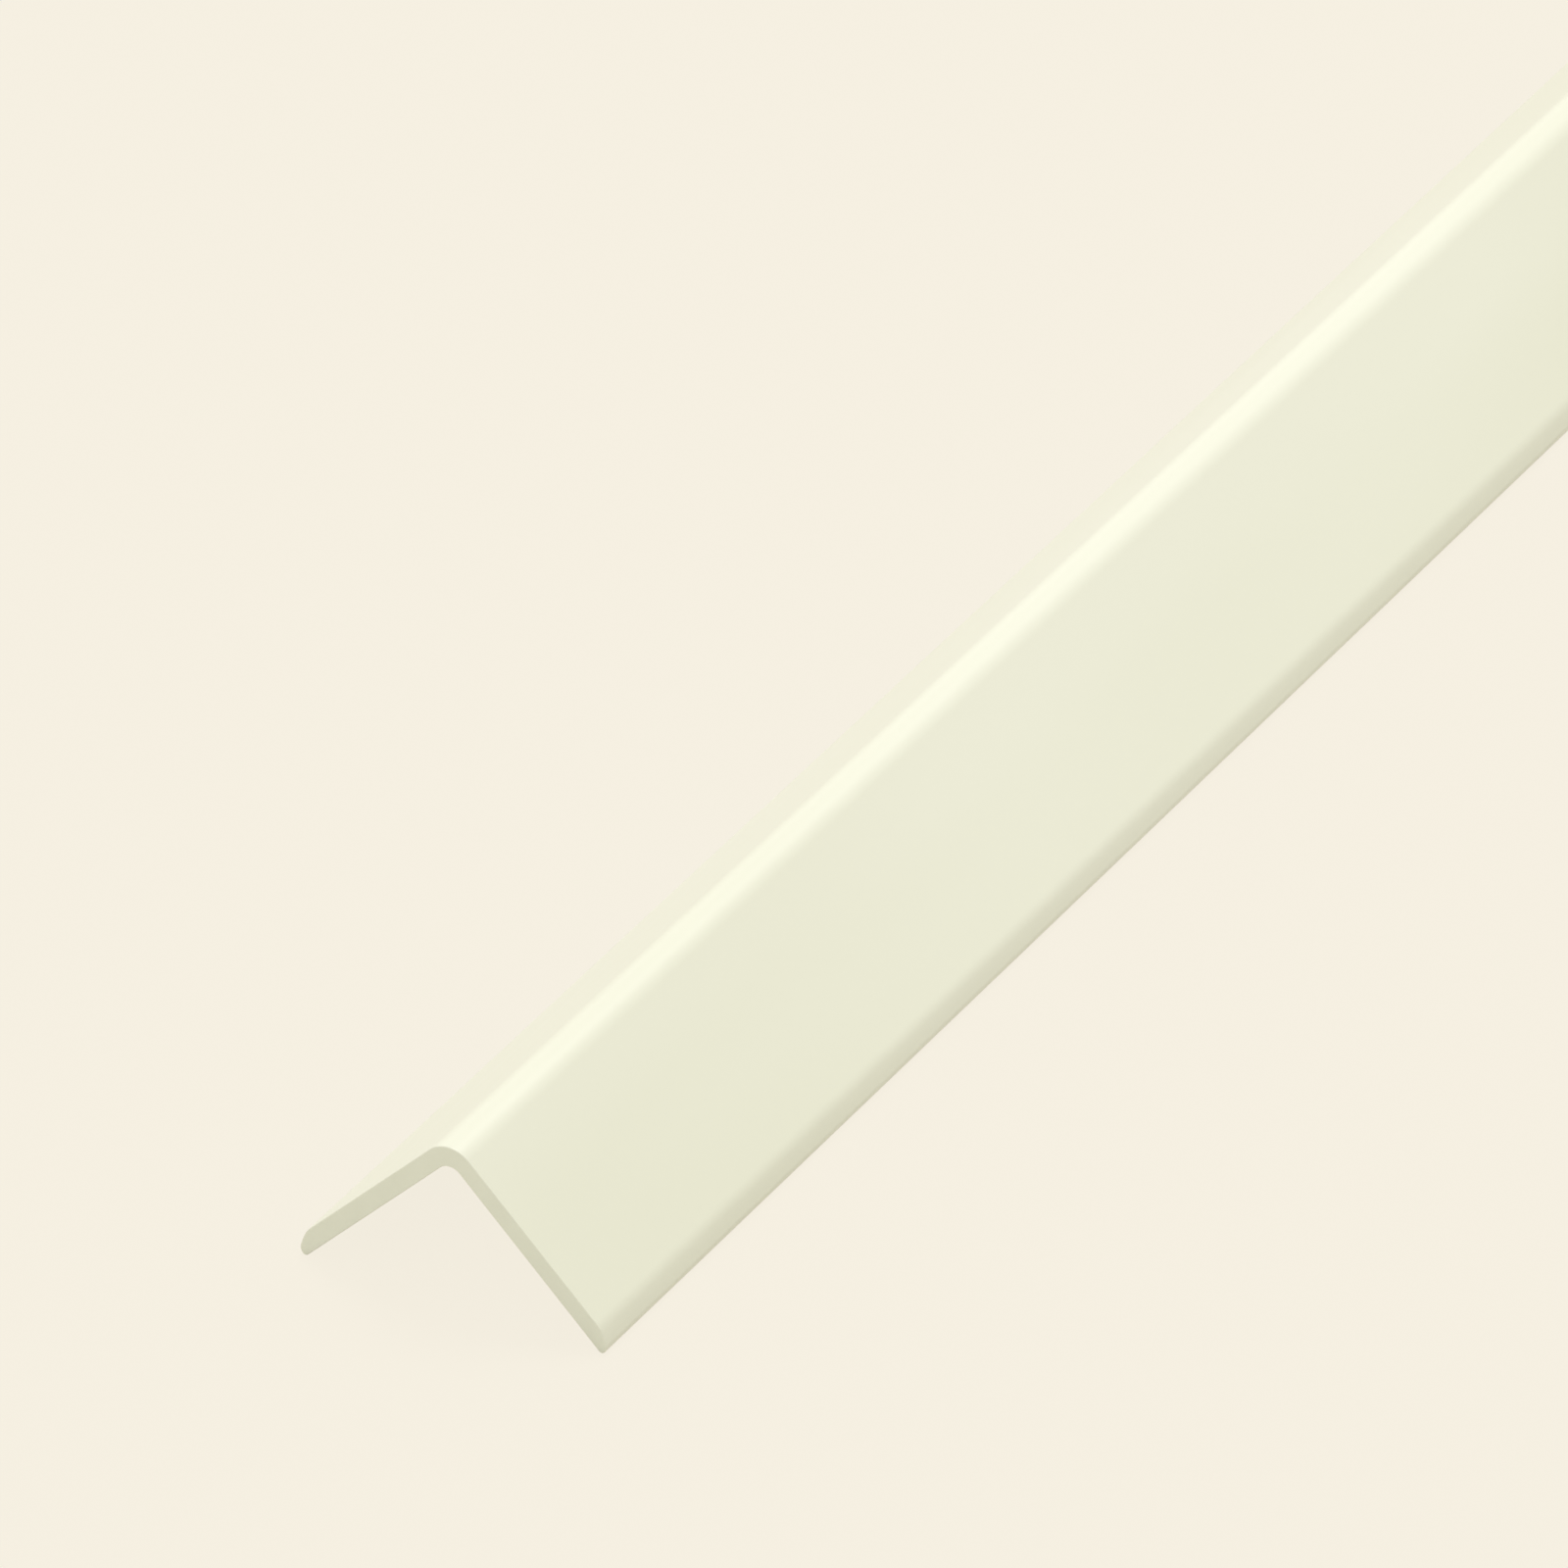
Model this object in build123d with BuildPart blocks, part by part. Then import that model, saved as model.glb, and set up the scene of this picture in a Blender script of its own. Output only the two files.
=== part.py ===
from build123d import *
from math import radians, sqrt, tan
import os

# Corner guard: a straight length of extruded rigid PVC angle that is glued over the outside corner of a wall.
# It lies as it would on a floor, ridge up on its two free edges. +X runs along it and +Z is up.
# The origin is on the floor, under the middle of the ridge.

# Driving dimensions, in millimetres and degrees
LENGTH = 1000.0      # of the bar, as it is sold
LEG = 25.0           # each leg, from the outside of the corner to its free edge
WALL = 2.0           # of both legs
OUTER_RADIUS = 3.0   # outside of the bend
INNER_RADIUS = 1.5   # inside of the bend
BEVEL_RUN = 2.45     # last stretch of each leg, where a bevel thins it from its outer face
BEVEL_ANGLE = 20.0   # between the bevel and the outer face
EASE_RADIUS = 1.5    # round between the outer face and the bevel
LIP_RADIUS = 0.4     # round between the free edge and the glued face

# Sharp corners of a leg, measured along it and in from its outer face
bevel_start = Vector(LEG - BEVEL_RUN, 0)
bevel_end = Vector(LEG, BEVEL_RUN * tan(radians(BEVEL_ANGLE)))
bevel_way = (bevel_end - bevel_start).normalized()

# Each round starts and ends at one distance from its sharp corner.
# The tip's round takes up all of the free edge between the bevel and the lip.
ease_setback = EASE_RADIUS * tan(radians(BEVEL_ANGLE) / 2)
tip_end = Vector(LEG, WALL - LIP_RADIUS)
tip_setback = (tip_end - bevel_end).length
lip_end = Vector(LEG - LIP_RADIUS, WALL)

# The section is drawn with its sharp outer corner at the sketch's origin and a leg along each sketch axis.
# The plane turns it ridge up, at the height where the round of each lip touches the floor.
corner_height = (LEG + WALL - 2 * LIP_RADIUS) / sqrt(2) + LIP_RADIUS
end_plane = Plane(origin=(LENGTH / 2, 0, corner_height), x_dir=(0, 1, -1), z_dir=(-1, 0, 0))
bisector = Plane(origin=(0, 0, 0), x_dir=(1, 1, 0), z_dir=(1, -1, 0))

with BuildPart() as corner_guard:
    with BuildSketch(end_plane):
        with BuildLine():
            # One leg, round its free edge from the outer face to the glued face, and its mirror image
            outer_face = Line((OUTER_RADIUS, 0), (bevel_start.X - ease_setback, 0))
            ease = TangentArc(outer_face @ 1, bevel_start + bevel_way * ease_setback, tangent=outer_face % 1)
            bevel = Line(ease @ 1, bevel_end - bevel_way * tip_setback)
            tip = TangentArc(bevel @ 1, tip_end, tangent=bevel % 1)
            lip = TangentArc(tip @ 1, lip_end, tangent=tip % 1)
            glued_face = Line(lip @ 1, (WALL + INNER_RADIUS, WALL))
            mirror(about=bisector)
            # The bend that joins the two legs
            TangentArc((OUTER_RADIUS, 0), (0, OUTER_RADIUS), tangent=(-1, 0))
            TangentArc(glued_face @ 1, (WALL, WALL + INNER_RADIUS), tangent=glued_face % 1)
        make_face()
    extrude(amount=LENGTH)

corner_guard.part.label = "corner_guard"
os.makedirs("parts", exist_ok=True)
export_step(corner_guard.part, "parts/corner_guard.step")
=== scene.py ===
import math

import bpy
from mathutils import Matrix, Vector


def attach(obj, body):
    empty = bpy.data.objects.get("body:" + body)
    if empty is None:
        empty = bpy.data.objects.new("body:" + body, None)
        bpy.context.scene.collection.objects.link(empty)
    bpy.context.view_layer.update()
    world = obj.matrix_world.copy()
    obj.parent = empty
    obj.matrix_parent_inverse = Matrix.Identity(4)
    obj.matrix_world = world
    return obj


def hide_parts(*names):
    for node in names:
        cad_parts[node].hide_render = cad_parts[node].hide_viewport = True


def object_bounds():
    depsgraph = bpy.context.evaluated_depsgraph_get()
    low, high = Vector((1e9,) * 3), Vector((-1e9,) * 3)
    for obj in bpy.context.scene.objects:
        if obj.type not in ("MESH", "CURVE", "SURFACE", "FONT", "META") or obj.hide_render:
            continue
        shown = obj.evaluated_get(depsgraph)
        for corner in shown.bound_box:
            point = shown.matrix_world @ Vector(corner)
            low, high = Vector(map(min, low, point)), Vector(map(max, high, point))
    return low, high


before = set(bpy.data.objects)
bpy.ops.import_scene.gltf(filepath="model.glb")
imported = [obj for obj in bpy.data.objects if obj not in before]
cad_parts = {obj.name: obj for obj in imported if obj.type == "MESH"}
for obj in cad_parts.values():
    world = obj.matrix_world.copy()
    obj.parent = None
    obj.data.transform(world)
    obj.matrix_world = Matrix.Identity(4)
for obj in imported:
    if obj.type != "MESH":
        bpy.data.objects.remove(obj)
cad_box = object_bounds()
NEAR_X = cad_box[0].x
FAR_X = cad_box[1].x

# The guard's section, in metres and radians, with a softer bevel than the part's that swells a little
LEG = 0.025
WALL = 0.002
OUTER_RADIUS = 0.003
INNER_RADIUS = 0.0015
EASE_RADIUS = 0.003                 # round between the outer face and the bevel
EASE_ANGLE = math.radians(22)       # between the outer face and the start of the bevel
BEVEL_RADIUS = 0.012                # how the bevel swells
BEVEL_ANGLE = math.radians(28.5)    # between the outer face and the end of the bevel
LIP_RADIUS = 0.0004

# Sizes that follow: the tip's round takes up all of the free edge between the bevel and the lip
EASE_DROP = EASE_RADIUS * (1 - math.cos(EASE_ANGLE))
BEVEL_DROP = BEVEL_RADIUS * (math.cos(EASE_ANGLE) - math.cos(BEVEL_ANGLE))
TIP_RADIUS = (WALL - LIP_RADIUS - EASE_DROP - BEVEL_DROP) / math.cos(BEVEL_ANGLE)
EASE_RUN = EASE_RADIUS * math.sin(EASE_ANGLE)
BEVEL_RUN = BEVEL_RADIUS * (math.sin(BEVEL_ANGLE) - math.sin(EASE_ANGLE))
TIP_RUN = TIP_RADIUS * (1 - math.sin(BEVEL_ANGLE))
EASE_START = LEG - TIP_RUN - BEVEL_RUN - EASE_RUN
CORNER_HEIGHT = (LEG + WALL - 2 * LIP_RADIUS) / math.sqrt(2) + LIP_RADIUS

# The break that the saw leaves round each end, and how finely the mesh follows the section
EDGE_BREAK = 0.00012
BREAK_STEPS = 3
BEND_STEPS = 12
EASE_STEPS = 6
BEVEL_STEPS = 4
TIP_STEPS = 12
LIP_STEPS = 5
RING_SPACING = 0.02

# The guard's material slots, in the order in which they are filled
LONG_FACES = 0
SAWN_ENDS = 1

# The plastic: its colours, its gloss and the sizes of its clouds and marks along each axis, in metres
PVC_IOR = 1.53
# On the long faces the clouds between deep and pale ivory are partly random tone and partly painted light
# and shade, lighter and darker stretches along the bar
IVORY_DEEP_PAINTED_SHADE = (0.803, 0.802, 0.637, 1.0)
IVORY_PALE_PAINTED_LIGHT = (0.845, 0.844, 0.692, 1.0)
IVORY_TONE_AND_SHADE_CLOUD = Vector((0.16, 0.03, 0.03))
EXTRUDED_ROUGHNESS = (0.285, 0.355)
DIE_LINE = Vector((0.33, 0.00045, 0.00045))
DIE_LINE_DEPTH = 0.00002
DIE_LINE_STRENGTH = 0.05
SAWN_DEEP = (0.795, 0.800, 0.645, 1.0)
SAWN_PALE = (0.815, 0.820, 0.665, 1.0)
SAWN_CLOUD = Vector((0.01, 0.0025, 0.0025))
SAWN_ROUGHNESS = (0.60, 0.75)
SAW_MARK = Vector((0.01, 0.004, 0.00017))
SAW_MARK_DEPTH = 0.00003
SAW_MARK_STRENGTH = 0.25
CLOUD_DETAIL = 2.0
CLOUD_START = (1.2, 2.6, 0.0)       # which stretch of the noise falls on the guard, in clouds, and so where the long faces' painted lighter and darker stretches lie
MARK_DETAIL = 3.0
MARK_START = (0.0, 0.0, 0.0)
NOISE_RANGE = (0.3, 0.7)            # where most of a noise's values lie

# The photograph's view
VIEW_AZIMUTH = math.radians(-58.97)
VIEW_ELEVATION = math.radians(32.97)
VIEW_ROLL = math.radians(-0.67)
VIEW_DISTANCE = 1.6794      # from the camera to the near end
FOCAL_LENGTH = 414.2        # millimetres, on the sensor below
SENSOR_WIDTH = 36.0
AIM_RIGHT = 0.03122         # from the near end's sharp outer corner to the middle of the picture
AIM_UP = 0.03283

# Light and floor, in metres and watts
FLOOR_SIZE = 40.0
FLOOR_COLOUR = (0.68, 0.645, 0.56, 1.0)
BACKGROUND_COLOUR = (0.926, 0.875, 0.764, 1.0)
FLOOR_GLOW = 0.945          # share of the floor's look that is the background's colour, without shadow
SKY_COLOUR = (1.0, 1.0, 1.0, 1.0)
SKY_STRENGTH = 0.634
LIT_RUN = 0.15              # from the near end to the place that the lamps look at
LIT_PLACE = Vector((NEAR_X + LIT_RUN, 0.0, 0.0))
KEY_DIRECTION = Vector((0.35, 0.08, 0.93)).normalized()
KEY_DISTANCE = 4.0
KEY_SIZE = 1.8
KEY_POWER = 83.5
FILL_DIRECTION = Vector((-0.90, 0.0, 0.43)).normalized()
FILL_DISTANCE = 2.2
FILL_SIZE = 1.8
FILL_POWER = 7.4
RIM_DIRECTION = Vector((0.72, 0.64, 0.27)).normalized()
RIM_DISTANCE = 2.2
RIM_SIZE = 0.7
RIM_POWER = 0.6


def heading(angle):
    """The unit vector at an angle."""
    return Vector((math.cos(angle), math.sin(angle)))


def arc(centre, radius, start, end, steps, outward=1):
    """Points on a circle from one angle to another, each with its normal out of the plastic."""
    ways = [heading(start + (end - start) * k / steps) for k in range(steps + 1)]
    return [(centre + radius * way, outward * way) for way in ways]


def leg_rows(inset):
    """Outer and inner side of one leg, point for point, from the bend's middle to the lip's middle."""
    down, diagonal = -math.pi / 2, -3 * math.pi / 4
    bevel_start, bevel_end = down + EASE_ANGLE, down + BEVEL_ANGLE
    outer_bend_centre = Vector((OUTER_RADIUS, OUTER_RADIUS))
    inner_bend_centre = Vector((WALL + INNER_RADIUS, WALL + INNER_RADIUS))
    ease_centre = Vector((EASE_START, EASE_RADIUS))
    bevel_centre = ease_centre + (EASE_RADIUS - BEVEL_RADIUS) * heading(bevel_start)
    tip_centre = Vector((LEG - TIP_RADIUS, WALL - LIP_RADIUS))
    lip_centre = Vector((LEG - LIP_RADIUS, WALL - LIP_RADIUS))
    outer = arc(outer_bend_centre, OUTER_RADIUS - inset, diagonal, down, BEND_STEPS)
    outer += arc(ease_centre, EASE_RADIUS - inset, down, bevel_start, EASE_STEPS)
    outer += arc(bevel_centre, BEVEL_RADIUS - inset, bevel_start, bevel_end, BEVEL_STEPS)[1:]
    outer += arc(tip_centre, TIP_RADIUS - inset, bevel_end, 0, TIP_STEPS)[1:]
    outer += arc(lip_centre, LIP_RADIUS - inset, 0, math.pi / 4, LIP_STEPS)[1:]
    inner = arc(inner_bend_centre, INNER_RADIUS + inset, diagonal, down, BEND_STEPS, outward=-1)
    face_steps = EASE_STEPS + BEVEL_STEPS + TIP_STEPS
    for k in range(face_steps + 1):
        along = EASE_START + (LEG - LIP_RADIUS - EASE_START) * k / face_steps
        inner.append((Vector((along, WALL - inset)), Vector((0, 1))))
    inner += arc(lip_centre, LIP_RADIUS - inset, math.pi / 2, math.pi / 4, LIP_STEPS)[1:]
    return outer, inner


def mirrored(row):
    """The same side of the other leg, where along the leg and into the wall change places."""
    return [(place.yx, normal.yx) for place, normal in row]


def section_loop(inset):
    """The whole outline, over the outer side and back along the inner one, and the outer side's count."""
    outer, inner = leg_rows(inset)
    over = outer[:0:-1] + mirrored(outer)
    under = inner[:0:-1] + mirrored(inner)
    return over + under[-2:0:-1], len(over)


def ridge_up(x, along, into):
    """A vector of the section, turned ridge up: the first leg slopes down to +Y and the other to -Y."""
    return Vector((x, (along - into) / math.sqrt(2), -(along + into) / math.sqrt(2)))


def ring_places():
    """Place along the bar, inset and lean of the normal for each ring, with the break round both ends."""
    leans = [math.pi / 2 * k / BREAK_STEPS for k in range(BREAK_STEPS + 1)]
    rounded = [(EDGE_BREAK * (1 - math.sin(t)), EDGE_BREAK * (1 - math.cos(t)), t) for t in leans]
    span = FAR_X - NEAR_X - 2 * EDGE_BREAK
    count = round(span / RING_SPACING)
    near = [(NEAR_X + depth, inset, -lean) for depth, inset, lean in reversed(rounded)]
    middle = [(NEAR_X + EDGE_BREAK + span * k / count, 0.0, 0.0) for k in range(1, count)]
    far = [(FAR_X - depth, inset, lean) for depth, inset, lean in rounded]
    return near + middle + far


def build_guard():
    """The guard as a fine mesh with exact normals, its faces split between material indices for the long
    faces and the sawn ends.
    """
    places, normals, faces = [], [], []
    rings = ring_places()
    for x, inset, lean in rings:
        loop, over_count = section_loop(inset)
        for place, normal in loop:
            places.append(ridge_up(x, *place) + Vector((0, 0, CORNER_HEIGHT)))
            normals.append(ridge_up(0, *normal) * math.cos(lean) + Vector((math.sin(lean), 0, 0)))
    loop_size = len(loop)
    for ring in range(len(rings) - 1):
        for k in range(loop_size):
            first = ring * loop_size + k
            second = ring * loop_size + (k + 1) % loop_size
            faces.append((first, second, second + loop_size, first + loop_size))
    long_count = len(faces)
    for start, turn in ((0, -1), ((len(rings) - 1) * loop_size, 1)):
        for k in range(over_count - 1):
            corners = [k, k + 1, (loop_size - k - 1) % loop_size, (loop_size - k) % loop_size]
            corners = [start + corner for corner in dict.fromkeys(corners)]
            faces.append(corners[::turn])
    mesh = bpy.data.meshes.new("corner_guard_fine")
    mesh.from_pydata(places, [], faces)
    for face in mesh.polygons:
        face.use_smooth = True
        face.material_index = LONG_FACES if face.index < long_count else SAWN_ENDS
    mesh.normals_split_custom_set_from_vertices(normals)
    guard = bpy.data.objects.new("corner_guard_fine", mesh)
    bpy.context.scene.collection.objects.link(guard)
    return guard


def new_material(name):
    """An empty node material, with its node tree and output."""
    material = bpy.data.materials.new(name)
    material.use_nodes = True
    material.node_tree.nodes.clear()
    output = material.node_tree.nodes.new("ShaderNodeOutputMaterial")
    return material, material.node_tree, output


def stretched_noise(tree, size, detail, start):
    """Noise over the object's own coordinates, with marks of a given size along each axis."""
    coordinates = tree.nodes.new("ShaderNodeTexCoord")
    mapping = tree.nodes.new("ShaderNodeMapping")
    mapping.inputs["Scale"].default_value = [1 / length for length in size]
    mapping.inputs["Location"].default_value = start
    noise = tree.nodes.new("ShaderNodeTexNoise")
    noise.inputs["Scale"].default_value = 1.0
    noise.inputs["Detail"].default_value = detail
    tree.links.new(coordinates.outputs["Object"], mapping.inputs["Vector"])
    tree.links.new(mapping.outputs["Vector"], noise.inputs["Vector"])
    return noise.outputs["Fac"]


def remap(tree, value, low, high):
    """A noise carried to another range."""
    node = tree.nodes.new("ShaderNodeMapRange")
    node.inputs["From Min"].default_value = NOISE_RANGE[0]
    node.inputs["From Max"].default_value = NOISE_RANGE[1]
    node.inputs["To Min"].default_value = low
    node.inputs["To Max"].default_value = high
    tree.links.new(value, node.inputs["Value"])
    return node.outputs["Result"]


def mix_colours(tree, factor, first, second):
    """A colour between two fixed ones."""
    node = tree.nodes.new("ShaderNodeMix")
    node.data_type = "RGBA"
    node.inputs["A"].default_value = first
    node.inputs["B"].default_value = second
    tree.links.new(factor, node.inputs["Factor"])
    return node.outputs["Result"]


def bump(tree, height, strength, depth):
    """A bump normal from a height."""
    node = tree.nodes.new("ShaderNodeBump")
    node.inputs["Strength"].default_value = strength
    node.inputs["Distance"].default_value = depth
    tree.links.new(height, node.inputs["Height"])
    return node.outputs["Normal"]


def plastic(name, deep, pale, cloud_size, roughness, mark_size, mark_strength, mark_depth):
    """Ivory PVC: clouded between two colours, which on the long faces is partly painted light and shade,
    with marks that change its gloss and its relief.
    """
    material, tree, output = new_material(name)
    shader = tree.nodes.new("ShaderNodeBsdfPrincipled")
    shader.inputs["IOR"].default_value = PVC_IOR
    cloud = stretched_noise(tree, cloud_size, CLOUD_DETAIL, CLOUD_START)
    marks = stretched_noise(tree, mark_size, MARK_DETAIL, MARK_START)
    # the clouded colour; on the long faces part of its deep and pale is painted shade and painted light
    ivory = mix_colours(tree, remap(tree, cloud, 0.0, 1.0), deep, pale)
    tree.links.new(ivory, shader.inputs["Base Color"])
    tree.links.new(remap(tree, marks, *roughness), shader.inputs["Roughness"])
    tree.links.new(bump(tree, marks, mark_strength, mark_depth), shader.inputs["Normal"])
    tree.links.new(shader.outputs["BSDF"], output.inputs["Surface"])
    return material


def extruded_pvc():
    """The long faces as they leave the die: satin, with faint lines along them, and clouds of deeper and
    paler ivory that are partly random tone and partly painted light and shade.
    """
    return plastic("ivory_pvc_extruded", IVORY_DEEP_PAINTED_SHADE, IVORY_PALE_PAINTED_LIGHT, IVORY_TONE_AND_SHADE_CLOUD, EXTRUDED_ROUGHNESS,
                   DIE_LINE, DIE_LINE_STRENGTH, DIE_LINE_DEPTH)


def sawn_pvc():
    """The sawn ends: the same plastic, matt, with the blade's fine marks across them."""
    return plastic("ivory_pvc_sawn", SAWN_DEEP, SAWN_PALE, SAWN_CLOUD, SAWN_ROUGHNESS,
                   SAW_MARK, SAW_MARK_STRENGTH, SAW_MARK_DEPTH)


def seen_directly(tree):
    """1 for a ray from the camera or by way of a gloss or glass, and 0 for a ray that only lights."""
    path = tree.nodes.new("ShaderNodeLightPath")
    total = path.outputs["Is Camera Ray"]
    for name in ("Is Glossy Ray", "Is Transmission Ray"):
        node = tree.nodes.new("ShaderNodeMath")
        node.operation = "MAXIMUM"
        tree.links.new(total, node.inputs[0])
        tree.links.new(path.outputs[name], node.inputs[1])
        total = node.outputs["Value"]
    return total


def floor_paint():
    """Cream floor that keeps a faint shadow."""
    material, tree, output = new_material("cream_floor")
    paint = tree.nodes.new("ShaderNodeBsdfDiffuse")
    paint.inputs["Color"].default_value = FLOOR_COLOUR
    glow = tree.nodes.new("ShaderNodeEmission")
    glow.inputs["Color"].default_value = BACKGROUND_COLOUR
    share = tree.nodes.new("ShaderNodeMath")
    share.operation = "MULTIPLY"
    share.inputs[1].default_value = FLOOR_GLOW
    tree.links.new(seen_directly(tree), share.inputs[0])
    mix = tree.nodes.new("ShaderNodeMixShader")
    tree.links.new(share.outputs["Value"], mix.inputs["Fac"])
    tree.links.new(paint.outputs["BSDF"], mix.inputs[1])
    tree.links.new(glow.outputs["Emission"], mix.inputs[2])
    tree.links.new(mix.outputs["Shader"], output.inputs["Surface"])
    return material


def build_floor():
    """A flat floor under the guard's free edges."""
    half = FLOOR_SIZE / 2
    mesh = bpy.data.meshes.new("floor")
    corners = [(-half, -half, 0), (half, -half, 0), (half, half, 0), (-half, half, 0)]
    mesh.from_pydata(corners, [], [(0, 1, 2, 3)])
    floor = bpy.data.objects.new("floor", mesh)
    floor.data.materials.append(floor_paint())
    bpy.context.scene.collection.objects.link(floor)


def light_world():
    """Even white light from all round, which looks like the floor where it is seen."""
    world = bpy.data.worlds.new("studio")
    world.use_nodes = True
    tree = world.node_tree
    tree.nodes.clear()
    output = tree.nodes.new("ShaderNodeOutputWorld")
    sky = tree.nodes.new("ShaderNodeBackground")
    sky.inputs["Color"].default_value = SKY_COLOUR
    sky.inputs["Strength"].default_value = SKY_STRENGTH
    backdrop = tree.nodes.new("ShaderNodeBackground")
    backdrop.inputs["Color"].default_value = BACKGROUND_COLOUR
    mix = tree.nodes.new("ShaderNodeMixShader")
    tree.links.new(seen_directly(tree), mix.inputs["Fac"])
    tree.links.new(sky.outputs["Background"], mix.inputs[1])
    tree.links.new(backdrop.outputs["Background"], mix.inputs[2])
    tree.links.new(mix.outputs["Shader"], output.inputs["Surface"])
    bpy.context.scene.world = world


def add_softbox(name, target, direction, distance, size, power):
    """A square soft lamp that looks at a point from a direction."""
    lamp = bpy.data.lights.new(name, "AREA")
    lamp.size = size
    lamp.energy = power
    softbox = bpy.data.objects.new(name, lamp)
    softbox.location = target + direction * distance
    softbox.rotation_mode = "QUATERNION"
    softbox.rotation_quaternion = (-direction).to_track_quat("-Z", "Y")
    bpy.context.scene.collection.objects.link(softbox)


def add_camera():
    """The camera at the photograph's angle, aimed from the near end's outer corner."""
    back = Vector((
        math.sin(VIEW_AZIMUTH) * math.cos(VIEW_ELEVATION),
        -math.cos(VIEW_AZIMUTH) * math.cos(VIEW_ELEVATION),
        math.sin(VIEW_ELEVATION),
    ))
    level = Vector((math.cos(VIEW_AZIMUTH), math.sin(VIEW_AZIMUTH), 0.0))
    right = Matrix.Rotation(VIEW_ROLL, 3, back) @ level
    up = back.cross(right)
    corner = Vector((NEAR_X, 0.0, CORNER_HEIGHT))
    lens = bpy.data.cameras.new("camera")
    lens.lens = FOCAL_LENGTH
    lens.sensor_width = SENSOR_WIDTH
    camera = bpy.data.objects.new("camera", lens)
    place = corner + right * AIM_RIGHT + up * AIM_UP + back * VIEW_DISTANCE
    camera.matrix_world = Matrix.Translation(place) @ Matrix((right, up, back)).transposed().to_4x4()
    bpy.context.scene.collection.objects.link(camera)
    bpy.context.scene.camera = camera


guard = build_guard()
guard.data.materials.append(extruded_pvc())
guard.data.materials.append(sawn_pvc())
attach(guard, "root")
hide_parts("corner_guard")

build_floor()
light_world()
add_softbox("key", LIT_PLACE, KEY_DIRECTION, KEY_DISTANCE, KEY_SIZE, KEY_POWER)
add_softbox("fill", LIT_PLACE, FILL_DIRECTION, FILL_DISTANCE, FILL_SIZE, FILL_POWER)
add_softbox("rim", LIT_PLACE, RIM_DIRECTION, RIM_DISTANCE, RIM_SIZE, RIM_POWER)
add_camera()
bpy.context.scene.view_settings.view_transform = "Standard"
